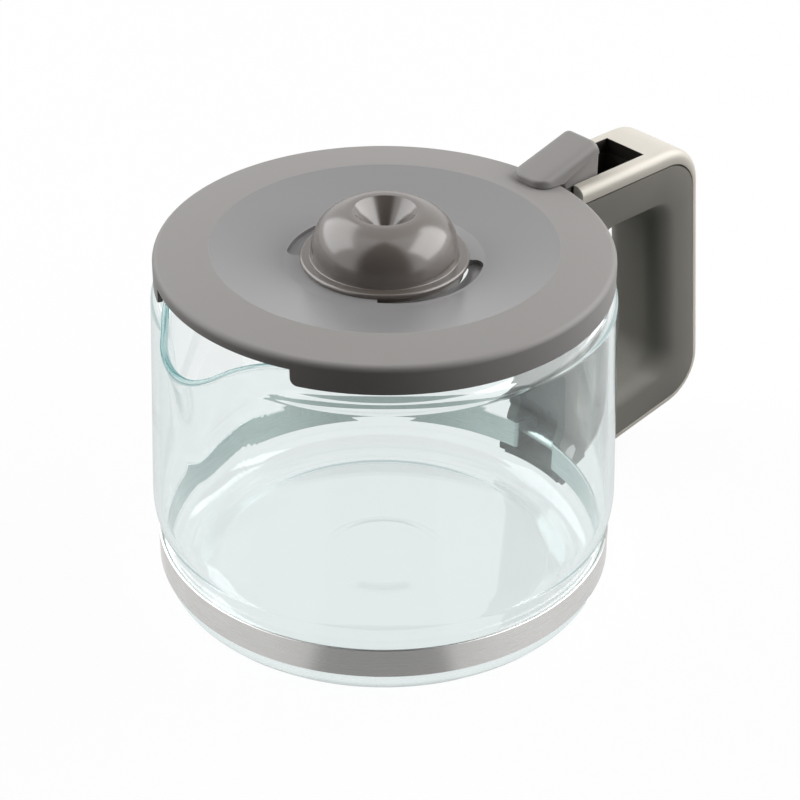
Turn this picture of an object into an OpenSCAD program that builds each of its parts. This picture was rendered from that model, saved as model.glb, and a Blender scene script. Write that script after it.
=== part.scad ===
// Glass coffee server: jug with pouring lip, steel band, loop handle and a hinged lid.
// The origin is on the jug's axis at the resting face, +X points to the handle, -X to the lip.

/* [Jug] */
// Height of the glass rim above the resting face
jug_h = 112; // [100:1:130]
// Outer radius of the glass where it is widest
body_r = 73.7; // [60:0.1:90]
// Step in from the widest radius to the neck
neck_in = 2.7; // [1:0.1:6]
// Step in from the neck to the rim
rim_in = 3.4; // [2:0.1:6]
// Thickness of the glass wall
glass_t = 3; // [2:0.1:4]
// Thickness of the glass floor
floor_t = 3.2; // [2:0.1:5]
// Radius of the rounded bottom edge
base_edge_r = 8.5; // [6:0.1:8.6]
// Radius of the floor's rounded edge inside the jug
floor_edge_r = 6; // [3:0.1:8]
// Height at which the wall is widest
body_z = 27; // [24:0.5:34]
// Height of the curve from the neck to the rim
shoulder_h = 7.5; // [5:0.1:9]
// Straight height of the rim above the shoulder
rim_h = 3.5; // [2:0.1:6]
// Radius of the rim's rounded edges
rim_edge_r = 1.2; // [0.5:0.1:1.4]
// Distance of the resting ring's inner edge from the widest radius
rest_in = 16.2; // [13:0.1:25]
// Rise of the floor inside the resting ring
punt_rise = 1.4; // [0.5:0.1:3]
// Radius of the round boss in the middle of the floor
boss_r = 21.2; // [15:0.1:30]
// Width of the boss's sloping edge
boss_slope = 3.9; // [1:0.1:6]
// Rise of the boss
boss_rise = 1.2; // [0.4:0.1:2]

/* [Lip] */
// Reach of the pouring lip's tip beyond the rim
lip_out = 12.5; // [9:0.1:14]
// Drop of the lip's tip below the rim
lip_drop = 9.8; // [7:0.1:12]
// Half of the angle of the rim that the lip takes up
lip_half_angle = 21; // [18:0.5:23]
// Radius of the rounded tip, seen from above
lip_tip_r = 18; // [12:0.1:19]
// Angle of the lip's front line from upright
lip_rake = 18; // [12:0.5:22]

/* [Band] */
// Height of the band's lower edge
band_z = 9.1; // [8.8:0.1:12]
// Height of the band
band_h = 9.9; // [7:0.1:12]
// Thickness of the band
band_t = 0.8; // [0.5:0.1:1.2]
// Depth of the seat for the band in the glass
band_seat = 2.2; // [1.2:0.1:3]
// Length of the bent ends inside the handle's foot
tab_len = 8; // [6:0.1:10]

/* [Handle] */
// Thickness of the handle's cheeks beside the lever's slot
cheek_t = 5; // [3:0.1:6]
// Reach of the handle's top beyond the jug
handle_out = 54; // [50:0.5:70]
// Drop of the handle's top below the lid's top edge
handle_drop = 1; // [0.5:0.1:3]
// Angle of the grip from upright
grip_lean = 6.2; // [0:0.1:10]
// Thickness of the grip
grip_t = 20; // [16:0.5:24]
// Thickness of the top arm under the lever's slot
arm_web = 4.4; // [3.5:0.1:9]
// Depth of the lower arm
lower_t = 19; // [15:0.5:24]
// Thickness of the spine along the glass
spine_t = 8; // [6:0.5:12]
// Height of the foot's underside at the glass
foot_z = 6.2; // [4:0.1:7]
// Slope of the lower arm's underside
foot_slope = 9.2; // [4:0.1:14]
// Radius of the top corner of the handle
top_corner_r = 16; // [12:0.5:18]
// Radius of the bottom corner of the handle
low_corner_r = 16; // [10:0.5:22]
// Corner radius of the finger opening
finger_corner_r = 9; // [5:0.5:14]
// Rounding of the grip's inner edges
grip_round = 8; // [3:0.5:9]
// Rounding of the lower arm's upper edges
lower_round = 6; // [2:0.5:8]
// Rounding of the edges under the top arm and on the spine
arm_round = 2; // [1:0.5:4]
// Reach of the lip under the band beyond the handle's sides
foot_lip_out = 2.5; // [1:0.1:6]

/* [Trim] */
// Thickness of the trim on the grip's back
trim_t = 3.3; // [2:0.1:4.5]
// Depth of the trim on the top arm
trim_top_t = 4.8; // [3.5:0.1:7]
// Height of the shadow line under the trim
shadow_line = 0.7; // [0.3:0.1:1]
// Depth of the shadow line
shadow_depth = 1.2; // [0.5:0.1:2]
// Rounding of the trim's outer edges
trim_edge_r = 3; // [0.5:0.1:3.2]
// Distance from the jug at which the trim ends on the underside
trim_foot_out = 14; // [13:0.5:24]

/* [Lid] */
// Thickness of the lid
lid_t = 2.2; // [1.6:0.1:2.6]
// Depth of the lid's edge over the rim
lid_edge_h = 3.9; // [3.4:0.1:5]
// Depth of the skirt
skirt_h = 9; // [7:0.1:10]
// Thickness of the skirt
skirt_t = 1.6; // [1.2:0.1:2.2]
// Rounding of the lid's top edge
lid_edge_r = 2; // [1:0.1:2.4]
// Width of the brim, from the lid's edge to the crease
brim_w = 17; // [13:0.1:20]
// Rise of the crease above the lid's edge
crease_rise = 1.2; // [0.4:0.1:2]
// Depth of the dish below the lid's edge
dish_depth = 3.6; // [2.5:0.1:5]
// Half angle of the gap in the skirt at the pouring lip
notch_half_angle = 25.5; // [24:0.5:32]

/* [Dome] */
// Radius of the dome's ball
dome_r = 23.9; // [22:0.1:25]
// Height of the dome above the lid's top edge
dome_h = 13.1; // [10:0.1:15]
// Wall thickness of the dome
dome_t = 2; // [1.4:0.1:3]
// Outer radius of the dome's mouth
mouth_r = 10.5; // [8:0.1:12]
// Reach of the dome's flange beyond the ball
flange_out = 1.8; // [1.7:0.1:4]
// Thickness of the dome's flange
flange_t = 1.4; // [1:0.1:3]
// Depth of the funnel in the mouth
funnel_h = 8.3; // [5:0.1:10]
// Radius of the drip hole
drip_r = 3.5; // [3:0.1:4.5]
// Width of the drain slots beside the flange, at their wide end
slot_wide = 4.3; // [3:0.1:6]
// Width of the drain slots beside the flange, at their narrow end
slot_narrow = 1.8; // [1:0.1:2.5]
// Angle of the drain slots' narrow end round the lid, from the handle
drain_from = -137; // [-150:1:-110]
// Angle of the drain slots' wide end round the lid, from the handle
drain_to = -51; // [-70:1:-30]

/* [Lever] */
// Width of the thumb lever
lever_w = 14.6; // [13:0.1:17]
// Length of the lever on the lid's brim
lever_lap = 10.2; // [7:0.1:12]
// Height of the lever's crest above the lid's edge
lever_h = 10.4; // [8:0.1:12]
// Thickness of the lever's front edge
lever_front_t = 2.4; // [1.5:0.1:3]
// Rounding of the lever's front corners, seen from above
lever_corner_r = 5; // [2:0.1:6]

/* [Hinge] */
// Distance of the hinge from the start of the handle
hinge_in = 8; // [7.5:0.1:10]
// Depth of the hinge below the lid's top edge
hinge_drop = 11.5; // [11:0.1:13]
// Radius of the hinge pin
pin_r = 1.75; // [1:0.05:2]
// Radius of the lever's knuckle
knuckle_r = 3.8; // [3:0.1:4]
// Gap on each side of the lever in the handle's slot
slot_gap = 0.9; // [0.4:0.05:1.5]

/* [Clamp] */
// Radius of the clamp screw
screw_r = 1.75; // [1.5:0.05:2]
// Radius of the screw's head
head_r = 3.2; // [2.6:0.1:3.6]
// Height of the screw's head
head_h = 1.9; // [1:0.1:2.2]
// Width of the nut across its flats
nut_w = 6; // [5:0.1:7]
// Height of the foot's pocket
pocket_h = 20; // [15:0.5:26]
// Thickness of the foot's walls beside its pocket
pocket_wall = 4; // [3:0.05:5]

/* [Hidden] */
$fn = 96;
arc_steps = 10;

// Clearances between pieces
seat_gap = 0.3;
skirt_gap = 0.8;
glass_gap = 0.3;
band_gap = 0.1;
trim_gap = 0.1;
press_gap = 0.02;
pin_gap = 0.06;
screw_gap = 0.1;
recess_gap = 0.15;
lever_gap = 0.15;
hook_gap = 0.5;
spigot_gap = 0.3;
swing_gap = 2;
overrun = 1;

// Small sizes of single pieces
hook_side_gap = 1;
hook_depth = 5;
hinge_notch_gap = 1.5;
ring_t = 1.6;
ring_gap = 2.8;
ring_h = 8;
lid_seat_w = 5.2;
pin_skin = 0.8;
mouth_land = 0.8;
flange_edge_r = 0.8;
spigot_h = 4.2;
spigot_t = 1.9;
lug_out = 1.6;
lug_h = 1.5;
lug_half_angle = 20;
dish_edge = 0.5;
peg_r = 1.5;
peg_share = 0.27;
rib_t = 1;
rib_share = 0.35;
rib_out = 1.2;
lever_crest_r = 1.8;
lever_front_r = 1;
floor_gap = 0.7;
lip_slope = 4;

// Derived places on the jug
neck_r = body_r - neck_in;
rim_r = neck_r - rim_in;
rest_r = body_r - rest_in;
band_top = band_z + band_h;
seat_r = body_r - band_seat;
band_in_r = seat_r + band_gap;
band_out_r = band_in_r + band_t;
shoulder_z = jug_h - rim_h - shoulder_h;
floor_z = punt_rise + floor_t;
lip_x = rim_r + lip_out;
lip_z = jug_h - lip_drop;

// Derived places on the lid
lid_z = jug_h + seat_gap + lid_edge_h;
skirt_in_r = rim_r + skirt_gap;
lid_r = skirt_in_r + skirt_t;
brim_r = lid_r - lid_edge_r;
crease_r = lid_r - brim_w;
flange_r = dome_r + flange_out;
dish_r = flange_r + slot_wide + dish_edge;
dish_z = lid_z - dish_depth;
dome_top = lid_z + dome_h;
dome_z = dome_top - sqrt(pow(dome_r, 2) - pow(mouth_r, 2));
flange_z = dish_z + flange_t;
spigot_r = flange_r - lug_out;

// Derived places on the handle
slot_w = lever_w + 2 * slot_gap;
handle_w = slot_w + 2 * cheek_t;
pocket_half_w = handle_w / 2 - pocket_wall;
foot_lip_half_w = handle_w / 2 + foot_lip_out;
hook_half_w = slot_w / 2 - hook_side_gap;
hook_t = lid_edge_h + seat_gap - lid_t - band_gap - hook_gap;
peg_half_pitch = lever_w * peg_share;
rib_half_pitch = pocket_half_w * rib_share;
handle_x = body_r + glass_gap;
handle_top = lid_z - handle_drop;
back_x = handle_x + handle_out;
spine_x = handle_x + spine_t;
hinge_x = handle_x + hinge_in;
hinge_z = lid_z - hinge_drop;
lever_end = hinge_x + knuckle_r;
lever_top = lid_z + lever_h;
lever_swing = norm([knuckle_r, lever_top - hinge_z]);
slot_end = hinge_x + lever_swing + swing_gap;
slot_floor = hinge_z - knuckle_r - floor_gap;
arm_t = handle_top - slot_floor + arm_web;
core_corner_r = top_corner_r - trim_t;
core_low_r = low_corner_r - trim_t;
tab_y = pocket_half_w - band_gap;
screw_x = seat_r + (tab_len + handle_x - seat_r) / 2;
screw_z = band_z + band_h / 2;
pocket_x = handle_x + tab_len;

// Points of an arc round c
function arc(c, r, from, to) =
    [for (i = [0 : arc_steps]) let (a = from + (to - from) * i / arc_steps) c + r * [cos(a), sin(a)]];

// Two equal arcs from p to q that are upright at both ends
function s_curve(p, q) =
    let (side = sign(q[0] - p[0]),
         turn = 2 * atan(abs(q[0] - p[0]) / (q[1] - p[1])),
         r = (q[1] - p[1]) / (2 * sin(turn)))
    concat(arc(p + [side * r, 0], r, 90 + side * 90, 90 + side * (90 - turn)),
           arc(q - [side * r, 0], r, 90 - side * (90 + turn), 90 - side * 90));

function unit(v) = v / norm(v);
function reversed(list) = [for (i = [len(list) - 1 : -1 : 0]) list[i]];

// Crossing of the line through p along d with the line through q along e
function meet(p, d, q, e) =
    p + d * ((q[0] - p[0]) * e[1] - (q[1] - p[1]) * e[0]) / (d[0] * e[1] - d[1] * e[0]);

// Arc of radius r that rounds the corner v between the points p and q
function rounded(p, v, q, r) =
    let (a = unit(p - v),
         b = unit(q - v),
         half = acos(a * b) / 2,
         c = v + unit(a + b) * r / sin(half),
         s = v + a * r / tan(half) - c,
         e = v + b * r / tan(half) - c,
         from = atan2(s[1], s[0]),
         turn = atan2(s[0] * e[1] - s[1] * e[0], s * e))
    arc(c, r, from, from + turn);

// Lines of the handle's side view, moved in by a distance: a point and a direction
function top_line(inset) = [[0, handle_top - inset], [1, 0]];
function back_line(inset) =
    [[back_x, handle_top] - inset * [cos(grip_lean), sin(grip_lean)], [sin(grip_lean), -cos(grip_lean)]];
function foot_line(inset) =
    [[handle_x, foot_z] + inset * [-sin(foot_slope), cos(foot_slope)], [cos(foot_slope), sin(foot_slope)]];
function upright(x) = [[x, 0], [0, 1]];
function crossing(a, b) = meet(a[0], a[1], b[0], b[1]);

// Side view of the handle, cut off inside the glass, with each side moved in
function handle_outline(top_in, back_in, foot_in, top_r, low_r) =
    let (root = upright(crease_r),
         a = crossing(root, top_line(top_in)),
         b = crossing(top_line(top_in), back_line(back_in)),
         c = crossing(back_line(back_in), foot_line(foot_in)),
         d = crossing(foot_line(foot_in), root))
    concat([a], rounded(a, b, c, top_r), rounded(b, c, d, low_r), [d]);

// Side view of the finger opening, with its edges rounded away by a share of their full rounding
function finger_outline(round_share) =
    let (top = top_line(arm_t - arm_round * round_share),
         back = back_line(grip_t - grip_round * round_share),
         foot = foot_line(lower_t - lower_round * round_share),
         spine = upright(spine_x - arm_round * round_share),
         a = crossing(spine, top),
         b = crossing(top, back),
         c = crossing(back, foot),
         d = crossing(foot, spine),
         r = finger_corner_r)
    concat(rounded(d, a, b, r), rounded(a, b, c, r), rounded(b, c, d, r), rounded(c, d, a, r));

// Outside of the glass, from the middle of the floor up to the rim
function jug_outside(grow) =
    concat([[0, punt_rise + boss_rise], [boss_r - boss_slope, punt_rise + boss_rise], [boss_r, punt_rise],
            [rest_r - punt_rise, punt_rise], [rest_r, 0]],
           arc([seat_r - base_edge_r + grow, base_edge_r], base_edge_r, -90, 0),
           s_curve([seat_r + grow, band_top], [body_r + grow, body_z]),
           s_curve([neck_r + grow, shoulder_z], [rim_r + grow, shoulder_z + shoulder_h]));

// Inside of the glass, from the middle of the floor up to the rim
function jug_inside() =
    concat([[0, floor_z + boss_rise], [boss_r - boss_slope, floor_z + boss_rise], [boss_r, floor_z]],
           arc([seat_r - glass_t - floor_edge_r, floor_z + floor_edge_r], floor_edge_r, -90, 0),
           s_curve([seat_r - glass_t, band_top], [body_r - glass_t, body_z]),
           s_curve([neck_r - glass_t, shoulder_z], [rim_r - glass_t, shoulder_z + shoulder_h]));

// Solid between rings of points, each ring with as many points as the others
module loft(rings) {
    n = len(rings[0]);
    last = len(rings) - 1;
    points = [for (ring = rings) each ring];
    sides = [for (k = [0 : last - 1], i = [0 : n - 1])
        let (j = (i + 1) % n, p = k * n, q = p + n)
        each [[p + i, q + i, p + j], [p + j, q + i, q + j]]];
    first_cap = [for (i = [0 : n - 1]) i];
    last_cap = [for (i = [n - 1 : -1 : 0]) last * n + i];
    polyhedron(points = points, faces = concat(sides, [first_cap, last_cap]));
}

// Points of a side view set upright at a place along the handle's width
function at_width(outline, y) = [for (p = outline) [p[0], y, p[1]]];

// Steps of a quarter turn, for edges rounded over into a side face
quarter = [for (i = [0 : arc_steps]) 90 * i / arc_steps];

// Side view drawn out over the handle's width
module across(w) {
    rotate([90, 0, 0])
        linear_extrude(w, center = true)
            children();
}

// Wedge of a ring round the jug's axis, from one angle to another
module sector(r_in, r_out, z, h, from, to) {
    rotate([0, 0, from])
        rotate_extrude(angle = to - from)
            translate([r_in, z])
                square([r_out - r_in, h]);
}

// Cylinder along the handle's width between two places
module crosswise(x, z, r, from, to) {
    translate([x, to, z])
        rotate([90, 0, 0])
            cylinder(r = r, h = to - from);
}

// Lip of the jug, seen along its front line, with its walls moved in
module lip_section(inset) {
    q = [(lip_x + lip_drop * tan(lip_rake) - rim_r * cos(lip_half_angle)) * cos(lip_rake),
         rim_r * sin(lip_half_angle)];
    c = [lip_tip_r, 0];
    d = norm(q - c);
    flare = atan2(q[1], c[0] - q[0]) - acos(lip_tip_r / d);
    side = sqrt(pow(d, 2) - pow(lip_tip_r, 2));
    near = c + (lip_tip_r - inset) * [-cos(flare), sin(flare)];
    far = near + side * [sin(flare), cos(flare)];
    polygon(concat(arc(c, lip_tip_r - inset, 180 - flare, 180 + flare), [[far[0], -far[1]], far]));
}

module lip_channel(inset) {
    below = (lip_x - neck_r + glass_t) / tan(lip_rake);
    translate([-lip_x, 0, lip_z])
        rotate([0, -lip_rake, 0])
            translate([0, 0, -below])
                linear_extrude(below + lip_drop + lip_out)
                    lip_section(inset);
}

// Space above the edge of the lip, which bends down towards the tip
module lip_edge() {
    start = rim_r * cos(lip_half_angle);
    reach = lip_x - start;
    bend_r = norm([reach, lip_drop]) / (2 * sin(atan(lip_drop / reach) - lip_slope));
    translate([bend_r * sin(lip_slope) - start, 0, jug_h - bend_r * cos(lip_slope)])
        difference() {
            translate([-2 * bend_r, -rim_r, 0])
                cube([2 * bend_r, 2 * rim_r, 2 * bend_r]);
            crosswise(0, 0, bend_r, -2 * rim_r, 2 * rim_r);
        }
}

module glass_jug() {
    rim_arc = arc([rim_r - rim_edge_r, jug_h - rim_edge_r], rim_edge_r, 0, 90);
    mouth_arc = arc([rim_r - glass_t + rim_edge_r, jug_h - rim_edge_r], rim_edge_r, 180, 90);
    mouth_r_top = rim_r - glass_t + rim_edge_r;
    color([0.85, 0.93, 0.92, 0.4])
        difference() {
            union() {
                rotate_extrude()
                    polygon(concat(jug_outside(0), rim_arc, [[0, jug_h]]));
                intersection() {
                    lip_channel(0);
                    translate([-2 * rim_r, -rim_r, 0])
                        cube([2 * rim_r, 2 * rim_r, jug_h - rim_edge_r / 2]);
                }
            }
            rotate_extrude()
                polygon(concat(jug_inside(), mouth_arc,
                               [[mouth_r_top, jug_h + overrun], [0, jug_h + overrun]]));
            lip_channel(glass_t);
            lip_edge();
        }
}

module steel_band() {
    end_y = tab_y - band_t / 2;
    tab_x = sqrt(pow(band_in_r, 2) - pow(end_y, 2)) + band_t / 2;
    color([0.7, 0.7, 0.69])
        difference() {
            union() {
                difference() {
                    translate([0, 0, band_z])
                        cylinder(r = band_out_r, h = band_h);
                    translate([0, 0, band_z - overrun])
                        cylinder(r = band_in_r, h = band_h + 2 * overrun);
                    translate([0, -end_y, band_z - overrun])
                        cube([band_out_r + overrun, 2 * end_y, band_h + 2 * overrun]);
                }
                for (side = [-1, 1])
                    translate([tab_x, side * end_y - band_t / 2, band_z])
                        cube([pocket_x - band_gap - tab_x, band_t, band_h]);
            }
            crosswise(screw_x, screw_z, screw_r + screw_gap, -handle_w, handle_w);
        }
}

module clamp_screw() {
    top = handle_w / 2 - recess_gap;
    color([0.6, 0.6, 0.6]) {
        crosswise(screw_x, screw_z, head_r, top - head_h, top);
        crosswise(screw_x, screw_z, screw_r, -top, top - head_h);
    }
}

module clamp_nut() {
    outside = handle_w / 2 - recess_gap;
    color([0.6, 0.6, 0.6])
        difference() {
            translate([screw_x, head_h - outside, screw_z])
                rotate([90, 0, 0])
                    cylinder(d = nut_w / cos(30), h = head_h, $fn = 6);
            crosswise(screw_x, screw_z, screw_r + press_gap, -handle_w, handle_w);
        }
}

// Space that the jug, the band and the lid's edge take up beside the handle
module beside_jug() {
    translate([0, 0, band_z - glass_gap])
        cylinder(r = band_out_r + glass_gap, h = band_h + 2 * glass_gap);
    rotate_extrude()
        polygon(concat(jug_outside(glass_gap), [[rim_r + glass_gap, lid_z], [0, lid_z]]));
    translate([0, 0, slot_floor])
        cylinder(r = handle_x, h = lid_z);
}

// Space between grip and spine, with edges that open out towards both sides
module finger_opening() {
    flat = handle_w / 2 - grip_round;
    rounding = [for (a = quarter) [flat + grip_round * sin(a), 1 - cos(a)]];
    far_side = concat(rounding, [[handle_w / 2 + overrun, 1]]);
    near_side = [for (s = reversed(far_side)) [-s[0], s[1]]];
    loft([for (s = concat(near_side, far_side)) at_width(finger_outline(s[1]), s[0])]);
}

// Slot in the top arm that the lever swings into
module lever_slot() {
    translate([handle_x - spine_t, -slot_w / 2, slot_floor])
        cube([slot_end - handle_x + spine_t, slot_w, lid_z]);
}

// Hook over the glass rim, between the lid and the jug
module rim_hook() {
    in_r = rim_r - glass_t - glass_gap;
    out_r = neck_r + glass_gap;
    hook_top = jug_h + band_gap + hook_t;
    intersection() {
        rotate_extrude()
            polygon([[in_r - hook_t, jug_h - hook_depth], [in_r, jug_h - hook_depth],
                     [in_r, hook_top - hook_t], [out_r, hook_top - hook_t],
                     [out_r, slot_floor - overrun], [handle_x, slot_floor - overrun],
                     [handle_x, hook_top], [in_r - hook_t, hook_top]]);
        translate([0, -hook_half_w, 0])
            cube([handle_x, 2 * hook_half_w, lid_z]);
    }
}

// Lip of the foot under the band
module foot_lip() {
    intersection() {
        sector(seat_r + glass_gap, handle_x + trim_t, foot_z, band_z - glass_gap - foot_z, -90, 90);
        translate([0, -foot_lip_half_w, 0])
            cube([body_r + handle_out, 2 * foot_lip_half_w, band_top]);
    }
}

// Pocket of the foot for the band's ends, with two ribs on its back wall
module foot_pocket() {
    difference() {
        translate([rim_r, -pocket_half_w, band_z - glass_gap])
            cube([pocket_x - rim_r, 2 * pocket_half_w, pocket_h]);
        for (side = [-1, 1])
            translate([pocket_x - rib_out, side * rib_half_pitch - rib_t / 2, band_top + glass_gap])
                cube([rib_out, rib_t, pocket_h]);
    }
}

module clamp_holes() {
    deep = handle_w / 2 - recess_gap - head_h;
    crosswise(screw_x, screw_z, screw_r + screw_gap, -handle_w, handle_w);
    crosswise(screw_x, screw_z, head_r + recess_gap, deep, handle_w);
    translate([screw_x, -deep, screw_z])
        rotate([90, 0, 0])
            cylinder(d = nut_w / cos(30) + 2 * recess_gap, h = handle_w, $fn = 6);
}

module handle_core() {
    side_in = trim_t + trim_gap;
    seat_in = trim_top_t + trim_gap;
    line_in = trim_top_t + shadow_line;
    color([0.42, 0.4, 0.37]) {
        difference() {
            union() {
                across(handle_w)
                    polygon(handle_outline(line_in, side_in, side_in, core_corner_r, core_low_r));
                across(handle_w - 2 * shadow_depth)
                    polygon(handle_outline(seat_in, side_in, side_in, core_corner_r, core_low_r));
                intersection() {
                    across(handle_w)
                        polygon(handle_outline(line_in, 0, 0, core_corner_r, core_low_r));
                    translate([0, -handle_w, 0])
                        cube([handle_x + trim_foot_out - trim_gap, 2 * handle_w, spine_x]);
                }
            }
            finger_opening();
            lever_slot();
            beside_jug();
            foot_pocket();
            clamp_holes();
            crosswise(hinge_x, hinge_z, pin_r + press_gap, pin_skin - handle_w / 2, handle_w);
        }
        rim_hook();
        difference() {
            foot_lip();
            across(handle_w)
                polygon([[spine_x, 0], [handle_x, 0], [handle_x, band_top], [spine_x, band_top]]);
        }
    }
}

// Whole outside of the handle's back, with rounded long edges
module trim_blank() {
    far_side = [for (a = quarter) [handle_w / 2 - trim_edge_r * (1 - sin(a)), trim_edge_r * (1 - cos(a))]];
    near_side = [for (s = reversed(far_side)) [-s[0], s[1]]];
    loft([for (s = concat(near_side, far_side))
        at_width(handle_outline(s[1], s[1], s[1], top_corner_r - s[1], low_corner_r - s[1]), s[0])]);
}

module handle_trim() {
    color([0.87, 0.85, 0.81])
        difference() {
            trim_blank();
            across(2 * handle_w)
                polygon(handle_outline(trim_top_t, trim_t, trim_t, core_corner_r, core_low_r));
            lever_slot();
            beside_jug();
            translate([0, -handle_w, 0])
                cube([handle_x + trim_foot_out, 2 * handle_w, slot_floor]);
        }
}

module hinge_pin() {
    color([0.75, 0.75, 0.75])
        crosswise(hinge_x, hinge_z, pin_r, pin_skin + recess_gap - handle_w / 2, handle_w / 2 - recess_gap);
}

// Height of the brim's top at a radius
function brim_z(r) = lid_z + crease_rise * (brim_r - r) / (brim_r - crease_r);

// One drain slot beside the dome, narrow at one end and rounded at the wide one
module drain_slot() {
    offset_r = slot_wide - slot_narrow;
    end_r = (flange_r + slot_wide - spigot_r) / 2;
    intersection() {
        rotate([0, 0, drain_to])
            translate([offset_r, 0, dish_z - lid_t - overrun])
                cylinder(r = flange_r + slot_narrow, h = lid_t + 2 * overrun);
        sector(0, dish_r, dish_z - lid_t - overrun, lid_t + 2 * overrun, drain_from, drain_to);
    }
    rotate([0, 0, drain_to])
        translate([spigot_r + end_r, 0, dish_z - lid_t - overrun])
            cylinder(r = end_r, h = lid_t + 2 * overrun);
}

module lid_plate() {
    ring_r = rim_r - glass_t - ring_gap;
    seat_in_r = skirt_in_r - lid_seat_w;
    skirt_z = lid_z - skirt_h;
    notch_half_w = handle_w / 2 + hinge_notch_gap;
    color([0.62, 0.61, 0.6])
        difference() {
            union() {
                rotate_extrude()
                    polygon(concat(
                        [[spigot_r + spigot_gap, dish_z - lid_t], [dish_r, dish_z - lid_t],
                         [crease_r, lid_z + crease_rise - lid_t], [seat_in_r, brim_z(seat_in_r) - lid_t],
                         [seat_in_r, lid_z - lid_edge_h], [skirt_in_r, lid_z - lid_edge_h],
                         [skirt_in_r, skirt_z], [lid_r, skirt_z]],
                        arc([brim_r, lid_z - lid_edge_r], lid_edge_r, 0, 90),
                        [[crease_r, lid_z + crease_rise], [dish_r, dish_z],
                         [spigot_r + spigot_gap, dish_z]]));
                sector(ring_r - ring_t, ring_r, lid_z - ring_h, ring_h - lid_t / 2, 0, 360);
            }
            sector(crease_r, lid_r + overrun, skirt_z - overrun, skirt_h - lid_edge_h + overrun,
                   180 - notch_half_angle, 180 + notch_half_angle);
            translate([crease_r, -notch_half_w, skirt_z - overrun])
                cube([lid_r, 2 * notch_half_w, skirt_h - lid_t + overrun]);
            drain_slot();
            rotate([0, 0, 180])
                drain_slot();
            for (side = [-1, 1])
                translate([lid_r - lever_lap / 2, side * peg_half_pitch, skirt_z])
                    cylinder(r = peg_r + pin_gap, h = 2 * skirt_h);
        }
}

module drip_dome() {
    spigot_z = dish_z - spigot_h;
    inner_r = spigot_r - spigot_t;
    funnel_z = dome_top - funnel_h;
    edge_c = flange_r - flange_edge_r;
    color([0.5, 0.47, 0.44])
        difference() {
            union() {
                intersection() {
                    translate([0, 0, dome_z])
                        sphere(r = dome_r);
                    translate([0, 0, dish_z])
                        cylinder(r = dome_r, h = dome_top - dish_z);
                }
                rotate_extrude()
                    polygon(concat([[0, dish_z], [flange_r, dish_z]],
                                   arc([edge_c, flange_z - flange_edge_r], flange_edge_r, 0, 90),
                                   [[0, flange_z]]));
                translate([0, 0, spigot_z])
                    cylinder(r = spigot_r, h = spigot_h);
                for (turn = [0, 180])
                    sector(inner_r, flange_r, spigot_z, lug_h, turn - lug_half_angle, turn + lug_half_angle);
            }
            difference() {
                union() {
                    intersection() {
                        translate([0, 0, dome_z])
                            sphere(r = dome_r - dome_t);
                        translate([0, 0, dish_z - spigot_h / 2])
                            cylinder(r = dome_r, h = dome_top - dish_z + spigot_h / 2);
                    }
                    translate([0, 0, spigot_z - overrun])
                        cylinder(r = min(inner_r, dome_r - dome_t), h = spigot_h + overrun);
                }
                translate([0, 0, funnel_z - dome_t])
                    cylinder(r1 = drip_r + dome_t, r2 = mouth_r + dome_t, h = funnel_h + dome_t);
            }
            translate([0, 0, funnel_z])
                cylinder(r1 = drip_r, r2 = mouth_r - mouth_land, h = funnel_h);
            translate([0, 0, spigot_z - overrun])
                cylinder(r = drip_r, h = dome_top - spigot_z);
        }
}

// Side view of the lever, from its front edge under the lid's edge to the hinge and back over the crest
module lever_side() {
    front = lid_r - lever_lap;
    base = brim_z(front) + lever_gap;
    under = lid_z - lid_edge_r;
    front_foot = [front, base];
    front_top = [front, base + lever_front_t];
    crest = [lever_end, lever_top];
    back_foot = [lever_end, hinge_z];
    polygon(concat(
        [front_foot, [brim_r, lid_z + lever_gap]],
        arc([brim_r, under], lid_edge_r + lever_gap, 90, 0),
        [[handle_x + hook_gap, under], [hinge_x - knuckle_r, under - knuckle_r],
         [hinge_x - knuckle_r, hinge_z], back_foot],
        rounded(back_foot, crest, front_top, lever_crest_r),
        rounded(crest, front_top, front_foot, lever_front_r)));
}

module thumb_lever() {
    front = lid_r - lever_lap;
    corner_y = lever_w / 2 - lever_corner_r;
    color([0.6, 0.59, 0.58])
        difference() {
            union() {
                intersection() {
                    across(lever_w)
                        lever_side();
                    linear_extrude(lever_top + overrun) {
                        translate([front + lever_corner_r, -lever_w / 2])
                            square([lever_end - front, lever_w]);
                        translate([front, -corner_y])
                            square([lever_corner_r, 2 * corner_y]);
                        for (side = [-1, 1])
                            translate([front + lever_corner_r, side * corner_y])
                                circle(r = lever_corner_r);
                    }
                }
                crosswise(hinge_x, hinge_z, knuckle_r, -lever_w / 2, lever_w / 2);
                for (side = [-1, 1])
                    translate([lid_r - lever_lap / 2, side * peg_half_pitch, lid_z - lid_t])
                        cylinder(r = peg_r, h = lid_t + lever_front_t / 2);
            }
            crosswise(hinge_x, hinge_z, pin_r + pin_gap, -handle_w, handle_w);
        }
}

glass_jug();
steel_band();
clamp_screw();
clamp_nut();
handle_core();
handle_trim();
hinge_pin();
lid_plate();
drip_dome();
thumb_lever();
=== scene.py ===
import math

import bmesh
import bpy
from mathutils import Matrix, Vector


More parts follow.
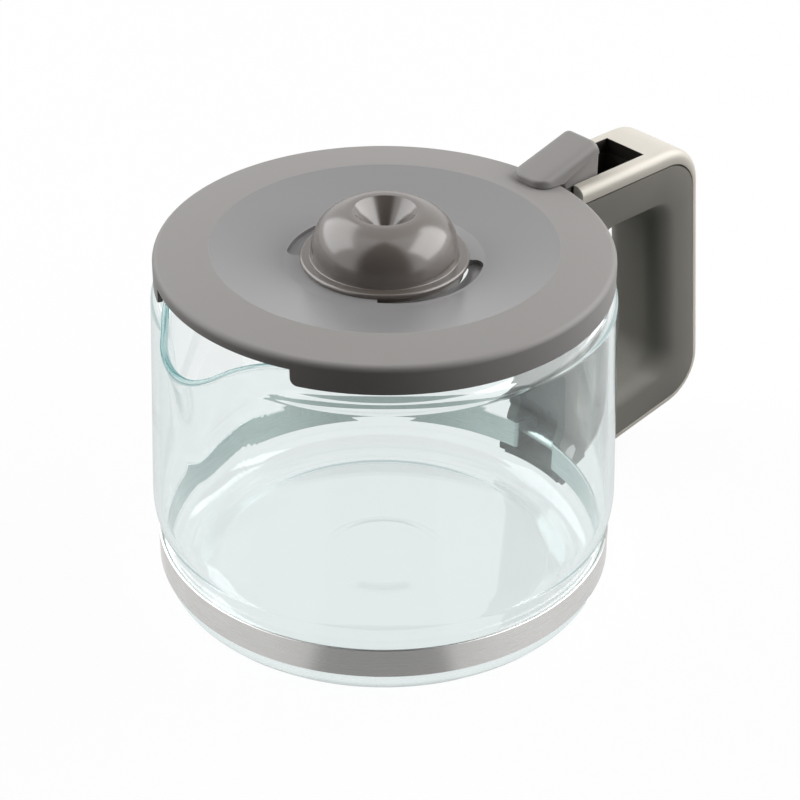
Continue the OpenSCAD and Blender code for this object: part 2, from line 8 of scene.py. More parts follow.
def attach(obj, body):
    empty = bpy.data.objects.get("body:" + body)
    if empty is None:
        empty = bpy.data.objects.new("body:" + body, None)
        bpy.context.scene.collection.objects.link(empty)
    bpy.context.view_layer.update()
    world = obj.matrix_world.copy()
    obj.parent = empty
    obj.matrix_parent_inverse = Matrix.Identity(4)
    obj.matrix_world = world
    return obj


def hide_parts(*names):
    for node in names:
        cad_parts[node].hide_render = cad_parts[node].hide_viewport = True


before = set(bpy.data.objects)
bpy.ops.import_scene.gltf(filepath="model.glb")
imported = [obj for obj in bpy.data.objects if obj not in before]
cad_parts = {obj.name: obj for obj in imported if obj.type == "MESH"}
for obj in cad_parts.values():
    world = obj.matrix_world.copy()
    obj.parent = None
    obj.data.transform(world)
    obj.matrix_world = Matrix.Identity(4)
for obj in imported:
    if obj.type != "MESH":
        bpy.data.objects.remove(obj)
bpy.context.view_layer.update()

# All lengths are in metres, from the middle of the jug's resting face. A name that ends in share is a
# part of something else.

# Glass jug
jug_h = 0.112
body_r = 0.0737
body_z = 0.033
neck_r = 0.071
rim_r = 0.0676
shoulder_z = 0.101
shoulder_h = 0.0075
seat_r = 0.0715
seat_top = 0.019
glass_t = 0.0023
base_edge_r = 0.0085
rest_in_r = 0.0535
rest_out_r = 0.0595
floor_round = 0.008
punt_rise = 0.0014
boss_r = 0.0212
boss_top_r = 0.0173
boss_rise = 0.0006
wall_cuts = 40
rim_round = 0.00105
rim_low = 0.095
rim_least = math.radians(55)

# Pouring lip
lip_x = 0.0801
lip_z = 0.1022
lip_half = math.radians(21)
lip_side = 2.2 * lip_half
lip_tip_r = 0.018
lip_rake = math.radians(18)
lip_slope = math.radians(4)
lip_low = 0.07
lip_root = 0.045
lip_blend = 0.006
lip_rounds = 12
held_share = 0.65
let_go_share = 0.55

# Steel band
band_r = 0.0716
band_t = 0.0008
band_low = 0.0091
band_top = 0.019
tab_in = 0.0083
tab_end = 0.0819
bend_r = 0.001

# Lid
lid_z = 0.1162
lid_r = 0.07
lid_edge_r = 0.002
lid_edge_h = 0.0039
lid_t = 0.0022
skirt_z = 0.1072
skirt_in_r = 0.0684
skirt_edge_r = 0.0004
skirt_in_edge_r = 0.0002
skirt_foot = 0.001
crease_r = 0.053
crease_z = 0.1174
crease_round = 0.0012
dish_r = 0.0305
dish_z = 0.1126
dish_round = 0.004
hole_r = 0.0244
seat_ring_r = 0.0632
ring_in_r = 0.0602
ring_out_r = 0.0618
ring_z = 0.1082
ring_edge_r = 0.0003
lip_notch = math.radians(25.5)
notch_round = 0.0022
notch_steps = (-0.00005, 0, 0.0001, 0.0003, 0.0006, 0.001, 0.0015, notch_round)
hinge_notch = 0.0147
hinge_step = 0.0005

# Drain slots in the lid, beside the dome
drain_from = math.radians(-137)
drain_to = math.radians(-51)
drain_r = 0.0275
drain_shift = 0.0025
drain_end_r = 0.00295
drain_shelf = 0.0045
drain_shelf_drop = 0.0014
drain_step = 0.001
drain_end_steps = 14
drain_end_step = 0.0085

# Drip dome
dome_r = 0.0239
dome_z = 0.10783
dome_t = 0.002
dome_out = 0.0227
dome_mid = 0.11
dome_tall = 0.0196
dome_full = 2 / 3
dome_from = 1.2
dome_to = 0.1
dome_steps = 30
mouth_top = 0.1287
mouth_r = 0.0105
mouth_land = 0.0008
mouth_in_edge_r = 0.0003
mouth_out_edge_r = 0.0004
flange_r = 0.0257
flange_z = 0.114
flange_edge_r = 0.0008
flange_root = 0.0001
flange_root_r = 0.0003
flange_lift = 0.00005
funnel_z = 0.121
funnel_t = 0.0018
funnel_turn = 0.12
drip_r = 0.0035
drip_edge_r = 0.0004
spigot_r = 0.0241
spigot_z = 0.1084
spigot_edge_r = 0.0003

# Thumb lever
lever_w = 0.0146
lever_front = 0.0598
lever_base = 0.117
lever_front_top = 0.1194
lever_end = 0.0858
lever_crest = 0.1266
lever_neck = 0.0745
lever_gap = 0.00015
lever_lift = 0.0015
knuckle_low = 0.1009
knuckle_in = 0.0782
knuckle_top = 0.1104
knuckle_r = 0.00375
lever_plan_r = 0.005
lever_plan_share = 0.5
lever_plan_steps = 6
lever_side_r = 0.003
lever_side_steps = 8
lever_crest_r = 0.0018
lever_front_side_r = 0.0012
lever_front_r = 0.0011
lever_toe_r = 0.0003
lever_neck_r = 0.001
lever_end_r = 0.0009
lever_end_face = 0.0001

# Lever slot in the handle's top, whose walls get painted shade, with how far the painted shade fades out
slot_half = 0.0082
slot_start = 0.0735
slot_end = 0.1062
slot_low = 0.1
slot_top = 0.1153
slot_skin = 0.0001
slot_fade = 0.00005
slot_low_fade = 0.0002
slot_top_fade = 0.0003

# Handle
loop_edge_r = 0.0003
cover_edge_r = 0.00025
handle_least = 35
same_place = 0.000002
same_plane = math.radians(0.3)

# Steps of the rounded and turned lines
round_step = math.radians(5)
turn_steps = 240
bend_steps = 8
bend_share = 0.999
ball_share = 0.9995
seam = 0.000001
near = 0.00001

# Side of the object that the camera stands on
eye_side = (-0.6787, -0.7344, 0)


def drawn(corners, closed=False):
    """A line in the plane y = 0 through corners given as x, z and the radius that rounds them."""
    bm = bmesh.new()
    verts = [bm.verts.new((x, 0, z)) for x, z, r in corners]
    for a, b in zip(verts, verts[1:] + verts[:1] if closed else verts[1:]):
        bm.edges.new((a, b))
    for v, (x, z, r) in zip(verts, corners):
        if r:
            a, b = (e.other_vert(v).co - v.co for e in v.link_edges)
            bmesh.ops.bevel(bm, geom=[v], offset=r / math.tan(a.angle(b) / 2), affect="VERTICES",
                            segments=2 + int((math.pi - a.angle(b)) / round_step), profile=0.5, material=-1)
    return bm


def s_bend(x0, z0, x1, z1):
    """Two rounded corners that lead from one upright line to another in equal arcs."""
    half = math.atan(abs(x1 - x0) / (z1 - z0))
    reach = (z1 - z0) / (1 + math.cos(2 * half)) / 2
    r = bend_share * reach / math.tan(half)
    return [(x0, z0 + reach, r), (x1, z1 - reach, r)]


def turned(bm, stops=(0, math.tau), steps=turn_steps):
    """Turns the drawn line once round the Z axis, from stop to stop."""
    last = bm.verts[:] + bm.edges[:]
    for a, b in zip(stops, stops[1:]):
        last = bmesh.ops.spin(bm, geom=last, cent=(0, 0, 0), axis=(0, 0, 1), angle=b - a,
                              steps=steps)["geom_last"]
    bmesh.ops.remove_doubles(bm, verts=bm.verts, dist=seam)
    bmesh.ops.recalc_face_normals(bm, faces=bm.faces)
    return bm


def only(kind, geom):
    """The verts or the edges among what an operator gave back."""
    return [g for g in geom if isinstance(g, kind)]


def smooth_max(a, b, blend):
    """The larger of two values, with a soft change from one to the other."""
    close = max(blend - abs(a - b), 0) / blend
    return max(a, b) + close * close * blend / 4


def ease(t):
    """Nought to one with soft ends."""
    t = min(max(t, 0), 1)
    return t * t * (3 - 2 * t)


def piece(name, bm, body, node, finish, sharp):
    """Makes the mesh an object that stands for a solid of the frame."""
    for f in bm.faces:
        f.smooth = True
    mesh = bpy.data.meshes.new(name)
    bm.to_mesh(mesh)
    bm.free()
    mesh.set_sharp_from_angle(angle=math.radians(sharp))
    mesh.materials.append(finish)
    obj = bpy.data.objects.new(name, mesh)
    bpy.context.scene.collection.objects.link(obj)
    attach(obj, body)
    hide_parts(node)


class Sock:
    """An output of a finish's nodes, for use in plain sums."""

    def __init__(self, finish, out):
        self.finish = finish
        self.out = out

    def __add__(self, other):
        return self.finish.maths("ADD", self, other)

    def __sub__(self, other):
        return self.finish.maths("SUBTRACT", self, other)

    def __rsub__(self, other):
        return self.finish.maths("SUBTRACT", other, self)

    def __mul__(self, other):
        return self.finish.maths("MULTIPLY", self, other)

    __radd__ = __add__
    __rmul__ = __mul__


class Finish:
    """A material, or the world, with one way to add nodes."""

    def __init__(self, name, owner=None):
        self.owner = owner or bpy.data.materials.new(name)
        self.owner.use_nodes = True
        self.tree = self.owner.node_tree
        self.tree.nodes.clear()

    def add(self, kind, settings={}, inputs={}, out=0):
        """A node by its kind, its settings and the values or links of its sockets."""
        node = self.tree.nodes.new("ShaderNode" + kind)
        for key, value in settings.items():
            setattr(node, key, value)
        for key, value in inputs.items():
            if isinstance(value, Sock):
                self.tree.links.new(value.out, node.inputs[key])
            else:
                node.inputs[key].default_value = value
        return Sock(self, node.outputs[out]) if node.outputs else None

    def maths(self, operation, *values):
        return self.add("Math", {"operation": operation}, dict(enumerate(values)))

    def place(self):
        return self.add("TexCoord", out="Object")

    def axes(self):
        """The X, Y and Z of a place on the piece."""
        split = self.add("SeparateXYZ", {}, {0: self.place()}).out.node
        return [Sock(self, out) for out in split.outputs]

    def ray(self, fact):
        """What is known of the ray that meets the surface."""
        return self.add("LightPath", out=fact)

    def noise(self, scale, detail=2, place=None):
        return self.add("TexNoise", {}, {"Vector": place or self.place(), "Scale": scale, "Detail": detail})

    def blend(self, factor, a, b):
        """A colour between two colours."""
        return self.add("Mix", {"data_type": "RGBA"}, {0: factor, 6: a, 7: b}, 2)

    def span(self, value, low, high, start=0, end=1):
        """A value carried over from one range to another, with soft ends."""
        return self.add("MapRange", {"interpolation_type": "SMOOTHSTEP"},
                        {0: value, 1: low, 2: high, 3: start, 4: end})

    def toward_eye(self, way):
        """One for a direction to the camera's side, minus one for the far side."""
        flat = self.add("VectorMath", {"operation": "MULTIPLY"}, {0: way, 1: (1, 1, 0)})
        unit = self.add("VectorMath", {"operation": "NORMALIZE"}, {0: flat})
        return self.add("VectorMath", {"operation": "DOT_PRODUCT"}, {0: unit, 1: eye_side}, "Value")

    def relief(self, height, strength, depth):
        return self.add("Bump", {}, {"Height": height, "Strength": strength, "Distance": depth})

    def surface(self, **sockets):
        """The shader of a solid finish, by its sockets' names."""
        return self.add("BsdfPrincipled", {}, {key.replace("_", " "): v for key, v in sockets.items()})

    def end(self, kind, **links):
        """Closes the finish with its output node."""
        self.add(kind, {}, links)
        return self.owner


def tone(r, g, b):
    """A colour from its everyday values of 0 to 255."""
    return [c / 12.92 if c <= 0.04045 else ((c + 0.055) / 1.055) ** 2.4
            for c in (r / 255, g / 255, b / 255)] + [1]


def dimmed(colour, level):
    return [c * level for c in colour[:3]] + [1]


white = (1, 1, 1, 1)
steel_dark = (0.82, 0.81, 0.79)
steel_light = (1, 0.99, 0.97)
# Painted shade: a near-black colour laid on the walls inside the lever's slot, where shade falls
slot_painted_shade = tone(34, 30, 26)
drift_level = 0.92
grain_scale = 5200
grain_depth = 0.00006
caught_depth = 4


# Finishes
def jug_glass():
    """Clear glass, green where it is thick. Light that can't get out of the wall passes straight on."""
    f = Finish("jug_glass")
    ripple = f.relief(f.noise(22, detail=1), strength=0.006, depth=0.001)
    clear = f.surface(Base_Color=(0.985, 0.996, 0.994, 1), Roughness=0, IOR=1.47, Transmission_Weight=1,
                      Normal=ripple)
    caught = f.maths("GREATER_THAN", f.ray("Ray Depth"), caught_depth)
    straight = f.maths("MAXIMUM", caught, f.ray("Is Shadow Ray"))
    pass_light = f.add("BsdfTransparent", {}, {"Color": (0.93, 0.96, 0.955, 1)})
    body = f.add("MixShader", {}, {0: straight, 1: clear, 2: pass_light})
    tint = f.add("VolumeAbsorption", {}, {"Color": (0.42, 0.74, 0.75, 1), "Density": 28})
    return f.end("OutputMaterial", Surface=body, Volume=tint)


def brushed_steel(name, level):
    """Steel with fine lines round the jug."""
    f = Finish(name)
    x, y, z = f.axes()
    round_way = f.maths("ARCTAN2", y, x)
    lines = f.add("CombineXYZ", {}, {0: round_way * 6, 2: z * 9000})
    streak = f.noise(1, detail=3, place=lines)
    grey = f.blend(streak, dimmed(steel_dark, level), dimmed(steel_light, level))
    metal = f.surface(Base_Color=grey, Metallic=1, Roughness=f.span(streak, 0.3, 0.7, 0.26, 0.36),
                      Anisotropic=0.85, Anisotropic_Rotation=0.25,
                      Normal=f.relief(streak, strength=0.1, depth=0.0001))
    return f.end("OutputMaterial", Surface=metal)


def slot_shade_mask(f):
    """Mask for painted shade: one inside the lever's slot in the handle's top, nought elsewhere."""
    x, y, z = f.axes()
    side = slot_half + slot_skin
    end = slot_end + slot_skin
    across = f.span(y * y, side ** 2, (side + slot_fade) ** 2, 1, 0)
    along = f.span(x, slot_start, slot_start + slot_skin) * f.span(x, end, end + slot_fade, 1, 0)
    up = f.span(z, slot_low, slot_low + slot_low_fade) * f.span(z, slot_top - slot_top_fade, slot_top, 1, 0)
    return across * along * up


def moulded(name, colour, rough, grain, ior):
    """Moulded plastic with a fine grain, and painted shade on its walls inside the lever's slot."""
    f = Finish(name)
    fleck = f.noise(grain_scale)
    shade = f.blend(f.noise(35), dimmed(colour, drift_level), colour)
    body = f.surface(Base_Color=f.blend(slot_shade_mask(f), shade, slot_painted_shade), IOR=ior,
                     Roughness=f.span(fleck, 0.3, 0.7, rough - 0.04, rough + 0.04),
                     Normal=f.relief(fleck, grain, grain_depth))
    return f.end("OutputMaterial", Surface=body)


def lid_plastic():
    """Grained brim, smoother dish."""
    f = Finish("lid_plastic")
    x, y, z = f.axes()
    out = f.maths("SQRT", x * x + y * y)
    brim = f.span(out, crease_r - 0.0003, crease_r + 0.0003)
    fleck = f.noise(grain_scale)
    grey = f.blend(brim, tone(150, 149, 150), tone(152, 149, 147))
    warm = f.blend(f.noise(30) * 0.12, grey, tone(132, 128, 122))
    body = f.surface(Base_Color=warm, Roughness=f.span(brim, 0, 1, 0.2, 0.5) + fleck * 0.06,
                     Normal=f.relief(fleck, 0.22, grain_depth))
    return f.end("OutputMaterial", Surface=body)


def champagne_trim():
    """Pale satin plastic with a slight metal shine, and painted shade on its walls inside the lever's slot."""
    f = Finish("champagne_trim")
    fleck = f.noise(6500)
    pale = f.blend(fleck, tone(220, 214, 202), tone(228, 222, 211))
    satin = f.surface(Base_Color=f.blend(slot_shade_mask(f), pale, slot_painted_shade), Metallic=0.08,
                      Roughness=f.span(fleck, 0.3, 0.7, 0.36, 0.44),
                      Normal=f.relief(fleck, strength=0.08, depth=0.00003))
    return f.end("OutputMaterial", Surface=satin)


# Pieces
def lip_reach(turn, z):
    """How far the lip's outside stands from the axis, in a direction and at a height."""
    c = lip_x - lip_tip_r - (lip_z - z) * math.tan(lip_rake)
    rim_c = lip_x - lip_tip_r + (jug_h - lip_z) * math.tan(lip_rake)
    corner = Vector((rim_r * math.cos(lip_half) - rim_c, rim_r * math.sin(lip_half)))
    flare = math.atan2(corner.y, corner.x) - math.acos(lip_tip_r / corner.length)
    if math.tan(turn) < lip_tip_r * math.sin(flare) / (c + lip_tip_r * math.cos(flare)):
        return c * math.cos(turn) + math.sqrt(lip_tip_r ** 2 - (c * math.sin(turn)) ** 2)
    return (c * math.cos(flare) + lip_tip_r) / math.cos(turn - flare)


def lip_drop(turn):
    """How far the rim falls at the lip, in a direction."""
    start = rim_r * math.cos(lip_half)
    reach = lip_x - start
    fall = jug_h - lip_z
    fall_r = math.hypot(reach, fall) / (2 * math.sin(math.atan(fall / reach) - lip_slope))
    drop = 0
    for _ in range(lip_rounds):
        out = max(lip_reach(turn, jug_h - drop) * math.cos(turn) - start, 0)
        along = min(out + fall_r * math.sin(lip_slope), fall_r)
        drop = (drop + fall_r * math.cos(lip_slope) - math.sqrt(fall_r ** 2 - along ** 2)) / 2
    return max(drop, 0)


def make_jug():
    floor_z = punt_rise + boss_rise
    outline = drawn([(0, floor_z, 0), (boss_top_r, floor_z, floor_round), (boss_r, punt_rise, floor_round),
                     (rest_in_r, punt_rise, floor_round), (rest_out_r, 0, floor_round),
                     (seat_r, 0, base_edge_r)] + s_bend(seat_r, seat_top, body_r, body_z)
                    + s_bend(neck_r, shoulder_z, rim_r, shoulder_z + shoulder_h) + [(rim_r, jug_h, 0)])
    wall = max(outline.edges, key=lambda e: e.calc_length())
    bmesh.ops.subdivide_edges(outline, edges=[wall], cuts=wall_cuts)
    jug = turned(outline)
    for v in jug.verts:
        turn = math.atan2(abs(v.co.y), -v.co.x)
        if v.co.z > lip_root and turn < lip_side:
            r = math.hypot(v.co.x, v.co.y)
            z = v.co.z
            if turn < lip_half:
                z -= lip_drop(turn) * ease((z - lip_low) / (jug_h - lip_low))
            held = 1 - ease((turn / lip_half - held_share) / let_go_share)
            wide = r + max(neck_r - r, 0) * held
            grow = smooth_max(wide, lip_reach(turn, z), lip_blend) / r
            v.co = (v.co.x * grow, v.co.y * grow, z)
    jug.normal_update()
    bmesh.ops.solidify(jug, geom=jug.faces[:], thickness=glass_t)
    jug.normal_update()
    rim = [e for e in jug.edges if e.calc_face_angle(0) > rim_least and e.verts[0].co.z > rim_low]
    bmesh.ops.bevel(jug, geom=rim, offset=rim_round, affect="EDGES", segments=5, profile=0.5, material=-1)
    piece("glass_body", jug, "jug", "glass_jug", jug_glass(), sharp=50)


def make_band():
    out_r = band_r + band_t
    bend_y = tab_in + band_t + bend_r
    start = math.asin(bend_y / (out_r + bend_r))
    bend_x = (out_r + bend_r) * math.cos(start)
    edge_r = band_t / 4
    band = drawn([(band_r, band_low, edge_r), (out_r, band_low, edge_r), (out_r, band_top, edge_r),
                  (band_r, band_top, edge_r)], closed=True)
    bmesh.ops.rotate(band, verts=band.verts, cent=(0, 0, 0), matrix=Matrix.Rotation(start, 3, "Z"))
    first = band.edges[:]
    last = bmesh.ops.spin(band, geom=band.verts[:] + first, cent=(0, 0, 0), axis=(0, 0, 1),
                          angle=math.tau - 2 * start, steps=turn_steps)["geom_last"]
    for ring, side in ((first, 1), (only(bmesh.types.BMEdge, last), -1)):
        bent = bmesh.ops.spin(band, geom=ring + list({v for e in ring for v in e.verts}),
                              cent=(bend_x, side * bend_y, 0), axis=(0, 0, 1),
                              angle=side * (math.pi / 2 - start), steps=bend_steps)["geom_last"]
        tab = bmesh.ops.extrude_edge_only(band, edges=only(bmesh.types.BMEdge, bent))["geom"]
        bmesh.ops.translate(band, verts=only(bmesh.types.BMVert, tab), vec=(tab_end - bend_x, 0, 0))
    bmesh.ops.holes_fill(band, edges=band.edges[:], sides=0)
    bmesh.ops.recalc_face_normals(band, faces=band.faces)
    piece("foot_band", band, "jug", "steel_band", brushed_steel("band_steel", level=0.74),
          sharp=38)


def skirt_low(turn):
    """Height of the skirt's lower edge, in a direction from the handle."""
    away = (math.pi - abs(turn) - lip_notch) * lid_r
    if away < 0:
        return lid_z - lid_edge_h
    if away < notch_round:
        return skirt_z + notch_round - math.sqrt(notch_round ** 2 - (notch_round - away) ** 2)
    return skirt_z


def drain_edge(turn):
    """Radius of the lid's hole, with a drain slot on each of two sides."""
    for way in (0, math.pi):
        past = (turn - way - drain_to + math.pi) % math.tau - math.pi
        if drain_from - drain_to <= past <= 0:
            return drain_shift * math.cos(past) + math.sqrt(drain_r ** 2 - (drain_shift * math.sin(past)) ** 2)
        c = spigot_r + drain_end_r
        if 0 < past < math.asin(drain_end_r / c):
            return c * math.cos(past) + math.sqrt(drain_end_r ** 2 - (c * math.sin(past)) ** 2)
    return hole_r


def lid_stops():
    """Directions in which the lid's outline stands: even ones, and more at its notches and slots."""
    stops = [math.tau * i / turn_steps for i in range(turn_steps + 1)]
    for side in (-1, 1):
        for away in notch_steps:
            stops.append(math.pi + side * (lip_notch + away / lid_r))
        for past in (0, hinge_step):
            stops.append((side * (math.asin(hinge_notch / lid_r) + past)) % math.tau)
    for way in (0, math.pi):
        for past in (-drain_step, 0, drain_step):
            stops.append((drain_from + way + past) % math.tau)
        for i in range(drain_end_steps):
            stops.append((drain_to + way + i * drain_end_step) % math.tau)
        stops.append((drain_to + way - drain_step) % math.tau)
    return sorted(set(stops))


def make_lid(finish):
    under = lid_z - lid_edge_h
    dish_under = dish_z - lid_t
    brim_r = lid_r - lid_edge_r
    fall = (crease_z - lid_z) / (brim_r - crease_r)
    seat_z, out_z, in_z = (lid_z + (brim_r - r) * fall - lid_t for r in (seat_ring_r, ring_out_r, ring_in_r))
    plate = drawn([(hole_r, dish_under, 0), (dish_r, dish_under, 0), (crease_r, crease_z - lid_t, 0),
                   (ring_in_r, in_z, 0), (ring_in_r, ring_z, ring_edge_r), (ring_out_r, ring_z, ring_edge_r),
                   (ring_out_r, out_z, 0), (seat_ring_r, seat_z, 0), (seat_ring_r, under, 0),
                   (skirt_in_r, under, 0), (skirt_in_r, skirt_z, skirt_in_edge_r),
                   (lid_r, skirt_z, skirt_edge_r), (lid_r, lid_z, lid_edge_r),
                   (crease_r, crease_z, crease_round), (dish_r, dish_z, dish_round), (hole_r, dish_z, 0),
                   (hole_r, dish_z - drain_shelf_drop, 0)], closed=True)
    turned(plate, lid_stops(), 1)
    for v in plate.verts:
        turn = math.atan2(v.co.y, v.co.x)
        r = math.hypot(v.co.x, v.co.y)
        if r < hole_r + near:
            edge = drain_edge(turn)
            if v.co.z < dish_under + near:
                edge = max(edge - drain_shelf, hole_r)
            grow = edge / r
            v.co.x *= grow
            v.co.y *= grow
        elif r > skirt_in_r - near and v.co.z < skirt_z + skirt_foot:
            v.co.z += skirt_low(turn) - skirt_z
        if v.co.x > crease_r + crease_round and abs(v.co.y) < hinge_notch + near:
            v.co.z = max(v.co.z, lid_z - lid_t)
    bmesh.ops.remove_doubles(plate, verts=plate.verts, dist=near)
    bmesh.ops.recalc_face_normals(plate, faces=plate.faces)
    piece("lid_top", plate, "lid", "lid_plate", finish, sharp=30)


def ball_corner(r, from_turn, to_turn):
    """The corner that, rounded, gives an arc of the ball inside the dome."""
    middle = (from_turn + to_turn) / 2
    far = r / math.cos((from_turn - to_turn) / 2)
    return (far * math.cos(middle), dome_z + far * math.sin(middle), r * ball_share)


def dome_line(t):
    """A place on the dome's outside, which is fuller than a ball."""
    return (dome_out * math.cos(t) ** dome_full, dome_mid + dome_tall * math.sin(t) ** dome_full, 0)


def make_dome():
    inner = dome_r - dome_t
    meet_turn = math.acos(mouth_r / dome_r) - funnel_turn
    low_turn = math.asin((spigot_z - dome_z) / inner)
    funnel_low = funnel_z - dome_t
    seat_z = dish_z + flange_lift
    outside = [dome_line(dome_from + (dome_to - dome_from) * i / dome_steps) for i in range(dome_steps + 1)]
    dome = drawn([(drip_r, funnel_z, drip_edge_r), (mouth_r - mouth_land, mouth_top, mouth_in_edge_r),
                  (mouth_r, mouth_top, mouth_out_edge_r)] + outside
                 + [(outside[-1][0] + flange_root, flange_z, flange_root_r),
                    (flange_r, flange_z, flange_edge_r), (flange_r, seat_z, 0), (spigot_r, seat_z, 0),
                    (spigot_r, spigot_z, spigot_edge_r), (inner * math.cos(low_turn), spigot_z, 0),
                    ball_corner(inner, low_turn, meet_turn),
                    (inner * math.cos(meet_turn), dome_z + inner * math.sin(meet_turn), 0),
                    (drip_r + funnel_t, funnel_low, 0), (drip_r, funnel_low, 0)], closed=True)
    piece("dome_body", turned(dome), "lid", "drip_dome",
          moulded("dome_plastic", tone(113, 105, 99), rough=0.2, grain=0.02, ior=1.7), sharp=30)


def corner_fall(side, half, r):
    """How far a rounded edge falls back, at a distance from the middle of a piece."""
    past = min(max(side - (half - r), 0) / r, 1)
    return r * (1 - math.sqrt(1 - past * past))


def make_lever(finish):
    half = lever_w / 2
    edge_z = lid_z - lid_edge_r
    lever = drawn([(lever_front, lever_base, lever_toe_r), (lid_r + lever_gap, lid_z + lever_gap, lid_edge_r),
                   (lid_r + lever_gap, edge_z, 0), (lever_neck, edge_z, lever_neck_r),
                   (knuckle_in, knuckle_top, lever_neck_r), (knuckle_in, knuckle_low, knuckle_r),
                   (lever_end, knuckle_low, knuckle_r), (lever_end, lever_crest, lever_crest_r),
                   (lever_front, lever_front_top, lever_front_r)], closed=True)
    bmesh.ops.translate(lever, verts=lever.verts, vec=(0, -half, 0))
    ring = lever.edges[:]
    steps = [lever_side_r * (1 - math.cos(math.pi / 2 * i / lever_side_steps))
             for i in range(lever_side_steps + 1)]
    steps += [lever_side_r + (lever_plan_r - lever_side_r) * i / lever_plan_steps
              for i in range(1, lever_plan_steps + 1)]
    stops = steps + [lever_w - s for s in reversed(steps)]
    for a, b in zip(stops, stops[1:]):
        made = bmesh.ops.extrude_edge_only(lever, edges=ring)["geom"]
        bmesh.ops.translate(lever, verts=only(bmesh.types.BMVert, made), vec=(0, b - a, 0))
        ring = [e for e in only(bmesh.types.BMEdge, made) if abs(e.verts[0].co.y - e.verts[1].co.y) < near]
    bmesh.ops.holes_fill(lever, edges=lever.edges[:], sides=0)
    for v in lever.verts:
        side = abs(v.co.y)
        along = (v.co.x - lever_front) / (lever_end - lever_front)
        if v.co.z > lid_z + lever_lift:
            top_r = lever_front_side_r + (lever_side_r - lever_front_side_r) * along
            v.co.z -= corner_fall(side, half, top_r)
        if v.co.x > lever_end - lever_end_face:
            v.co.x -= corner_fall(side, half, lever_end_r)
        v.co.x += corner_fall(side, half, lever_plan_r) * max(1 - along / lever_plan_share, 0)
    bmesh.ops.recalc_face_normals(lever, faces=lever.faces)
    piece("lever_body", lever, "lid", "thumb_lever", finish, sharp=40)


def soften(name, node, finish, edge_r):
    """A copy of a solid's mesh with its edges eased."""
    bm = bmesh.new()
    bm.from_mesh(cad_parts[node].data)
    bmesh.ops.remove_doubles(bm, verts=bm.verts, dist=same_place)
    bmesh.ops.dissolve_limit(bm, angle_limit=same_plane, verts=bm.verts, edges=bm.edges)
    edges = [e for e in bm.edges if e.is_manifold and e.calc_face_angle(0) > math.radians(handle_least)]
    bmesh.ops.bevel(bm, geom=edges, offset=edge_r, affect="EDGES", segments=2, profile=0.5, material=-1,
                    clamp_overlap=True)
    bmesh.ops.triangulate(bm, faces=[f for f in bm.faces if len(f.verts) > 4])
    piece(name, bm, "jug", node, finish, sharp=handle_least)


lid_finish = lid_plastic()
loop_finish = moulded("handle_plastic", tone(138, 135, 128), rough=0.55, grain=0.25, ior=1.3)
fixing_finish = brushed_steel("fixing_steel", level=0.6)

make_jug()
make_band()
make_lid(lid_finish)
make_dome()
make_lever(lid_finish)
soften("handle_loop", "handle_core", loop_finish, loop_edge_r)
soften("handle_cover", "handle_trim", champagne_trim(), cover_edge_r)
for node in ("clamp_screw", "clamp_nut", "hinge_pin"):
    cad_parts[node].material_slots[0].material = fixing_finish


# Studio
def mirrored(f):
    """One for rays that a shiny face threw back."""
    return f.ray("Is Glossy Ray") * (1 - f.ray("Is Transmission Ray"))


def through(f):
    """One for what is seen through the glass, nought for light that a matt face gathers through it."""
    return f.ray("Is Transmission Ray") * (1 - f.maths("MINIMUM", f.ray("Diffuse Depth"), 1))


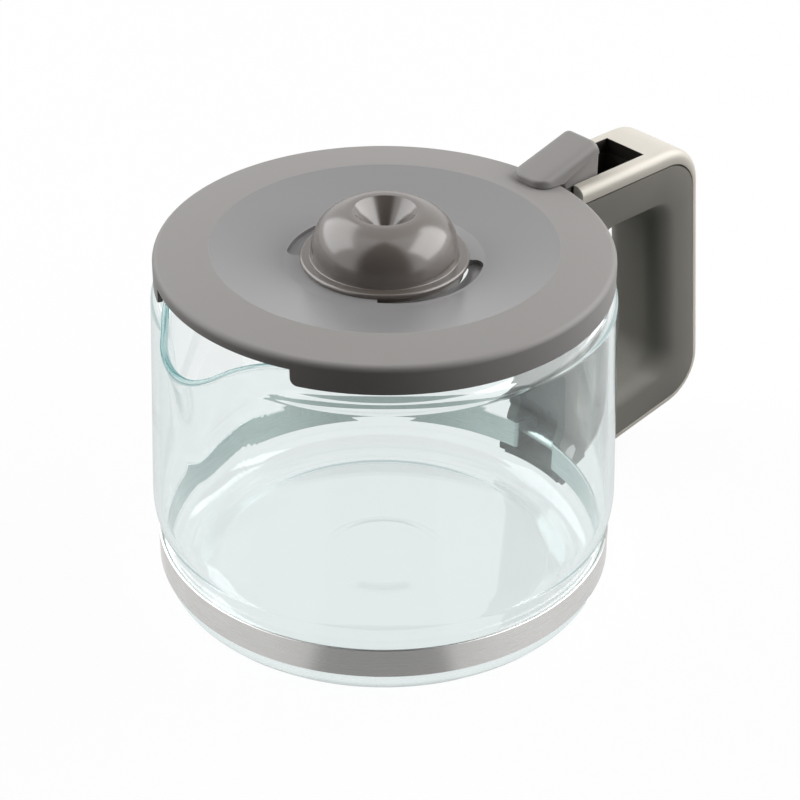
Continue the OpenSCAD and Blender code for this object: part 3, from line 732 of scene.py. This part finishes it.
def make_floor():
    """Paper floor that looks white, and darker in shiny faces that turn to the camera."""
    bm = bmesh.new()
    bmesh.ops.create_grid(bm, x_segments=1, y_segments=1, size=3)
    mesh = bpy.data.meshes.new("studio_floor")
    bm.to_mesh(mesh)
    bm.free()
    f = Finish("studio_floor")
    paper = f.add("BsdfDiffuse", {}, {"Color": (0.05, 0.05, 0.05, 1)})
    in_metal = f.span(f.toward_eye(f.place()), 0.92, 0.96, 0.7, 0.38)
    level = f.ray("Is Camera Ray") * 0.95 + through(f) * 0.85 + mirrored(f) * in_metal
    glow = f.add("Emission", {}, {"Color": white, "Strength": level})
    mesh.materials.append(f.end("OutputMaterial", Surface=f.add("AddShader", {}, {0: paper, 1: glow})))
    floor = bpy.data.objects.new("studio_floor", mesh)
    bpy.context.scene.collection.objects.link(floor)
    return floor


def softbox(name, place, watts):
    """A wide soft lamp that looks at the lid."""
    light = bpy.data.lights.new(name, "AREA")
    light.shape = "RECTANGLE"
    light.size = 1.4
    light.size_y = 1
    light.energy = watts
    obj = bpy.data.objects.new(name, light)
    obj.location = place
    obj.rotation_euler = (Vector((0, 0, 0.1)) - Vector(place)).to_track_quat("-Z", "Y").to_euler()
    bpy.context.scene.collection.objects.link(obj)


def make_world():
    """White behind the object; in shiny faces, bright walls with a dark gap at the camera."""
    world = bpy.data.worlds.new("studio")
    bpy.context.scene.world = world
    f = Finish("studio", world)
    way = f.toward_eye(f.add("TexCoord", out="Generated"))
    walls = f.span(way, -0.9, -0.2, 1.2, 1.9) * f.span(way, 0.6, 0.85, 1, 0.03)
    level = (f.ray("Is Camera Ray") + through(f)) * 0.97 + mirrored(f) * walls + 0.03
    f.end("OutputWorld", Surface=f.add("Background", {}, {"Color": white, "Strength": level}))


make_floor()
softbox("right_light", (0.773, -0.537, 0.76), watts=15)
softbox("left_light", (-0.35, 0.87, 0.76), watts=11)
make_world()

# Camera at the photo's angle
eye = bpy.data.cameras.new("photo_view")
eye.lens = 106.2
eye.sensor_width = 36
eye_obj = bpy.data.objects.new("photo_view", eye)
eye_obj.location = (-0.4212, -0.4631, 0.4571)
eye_turn = Matrix.Rotation(math.atan2(eye_side[0], -eye_side[1]), 3, "Z")
eye_tilt = Matrix.Rotation(math.radians(57.72), 3, "X")
eye_roll = Matrix.Rotation(math.radians(0.49), 3, "Z")
eye_obj.rotation_euler = (eye_turn @ eye_tilt @ eye_roll).to_euler()
bpy.context.scene.collection.objects.link(eye_obj)
bpy.context.scene.camera = eye_obj
bpy.context.scene.view_settings.view_transform = "Standard"
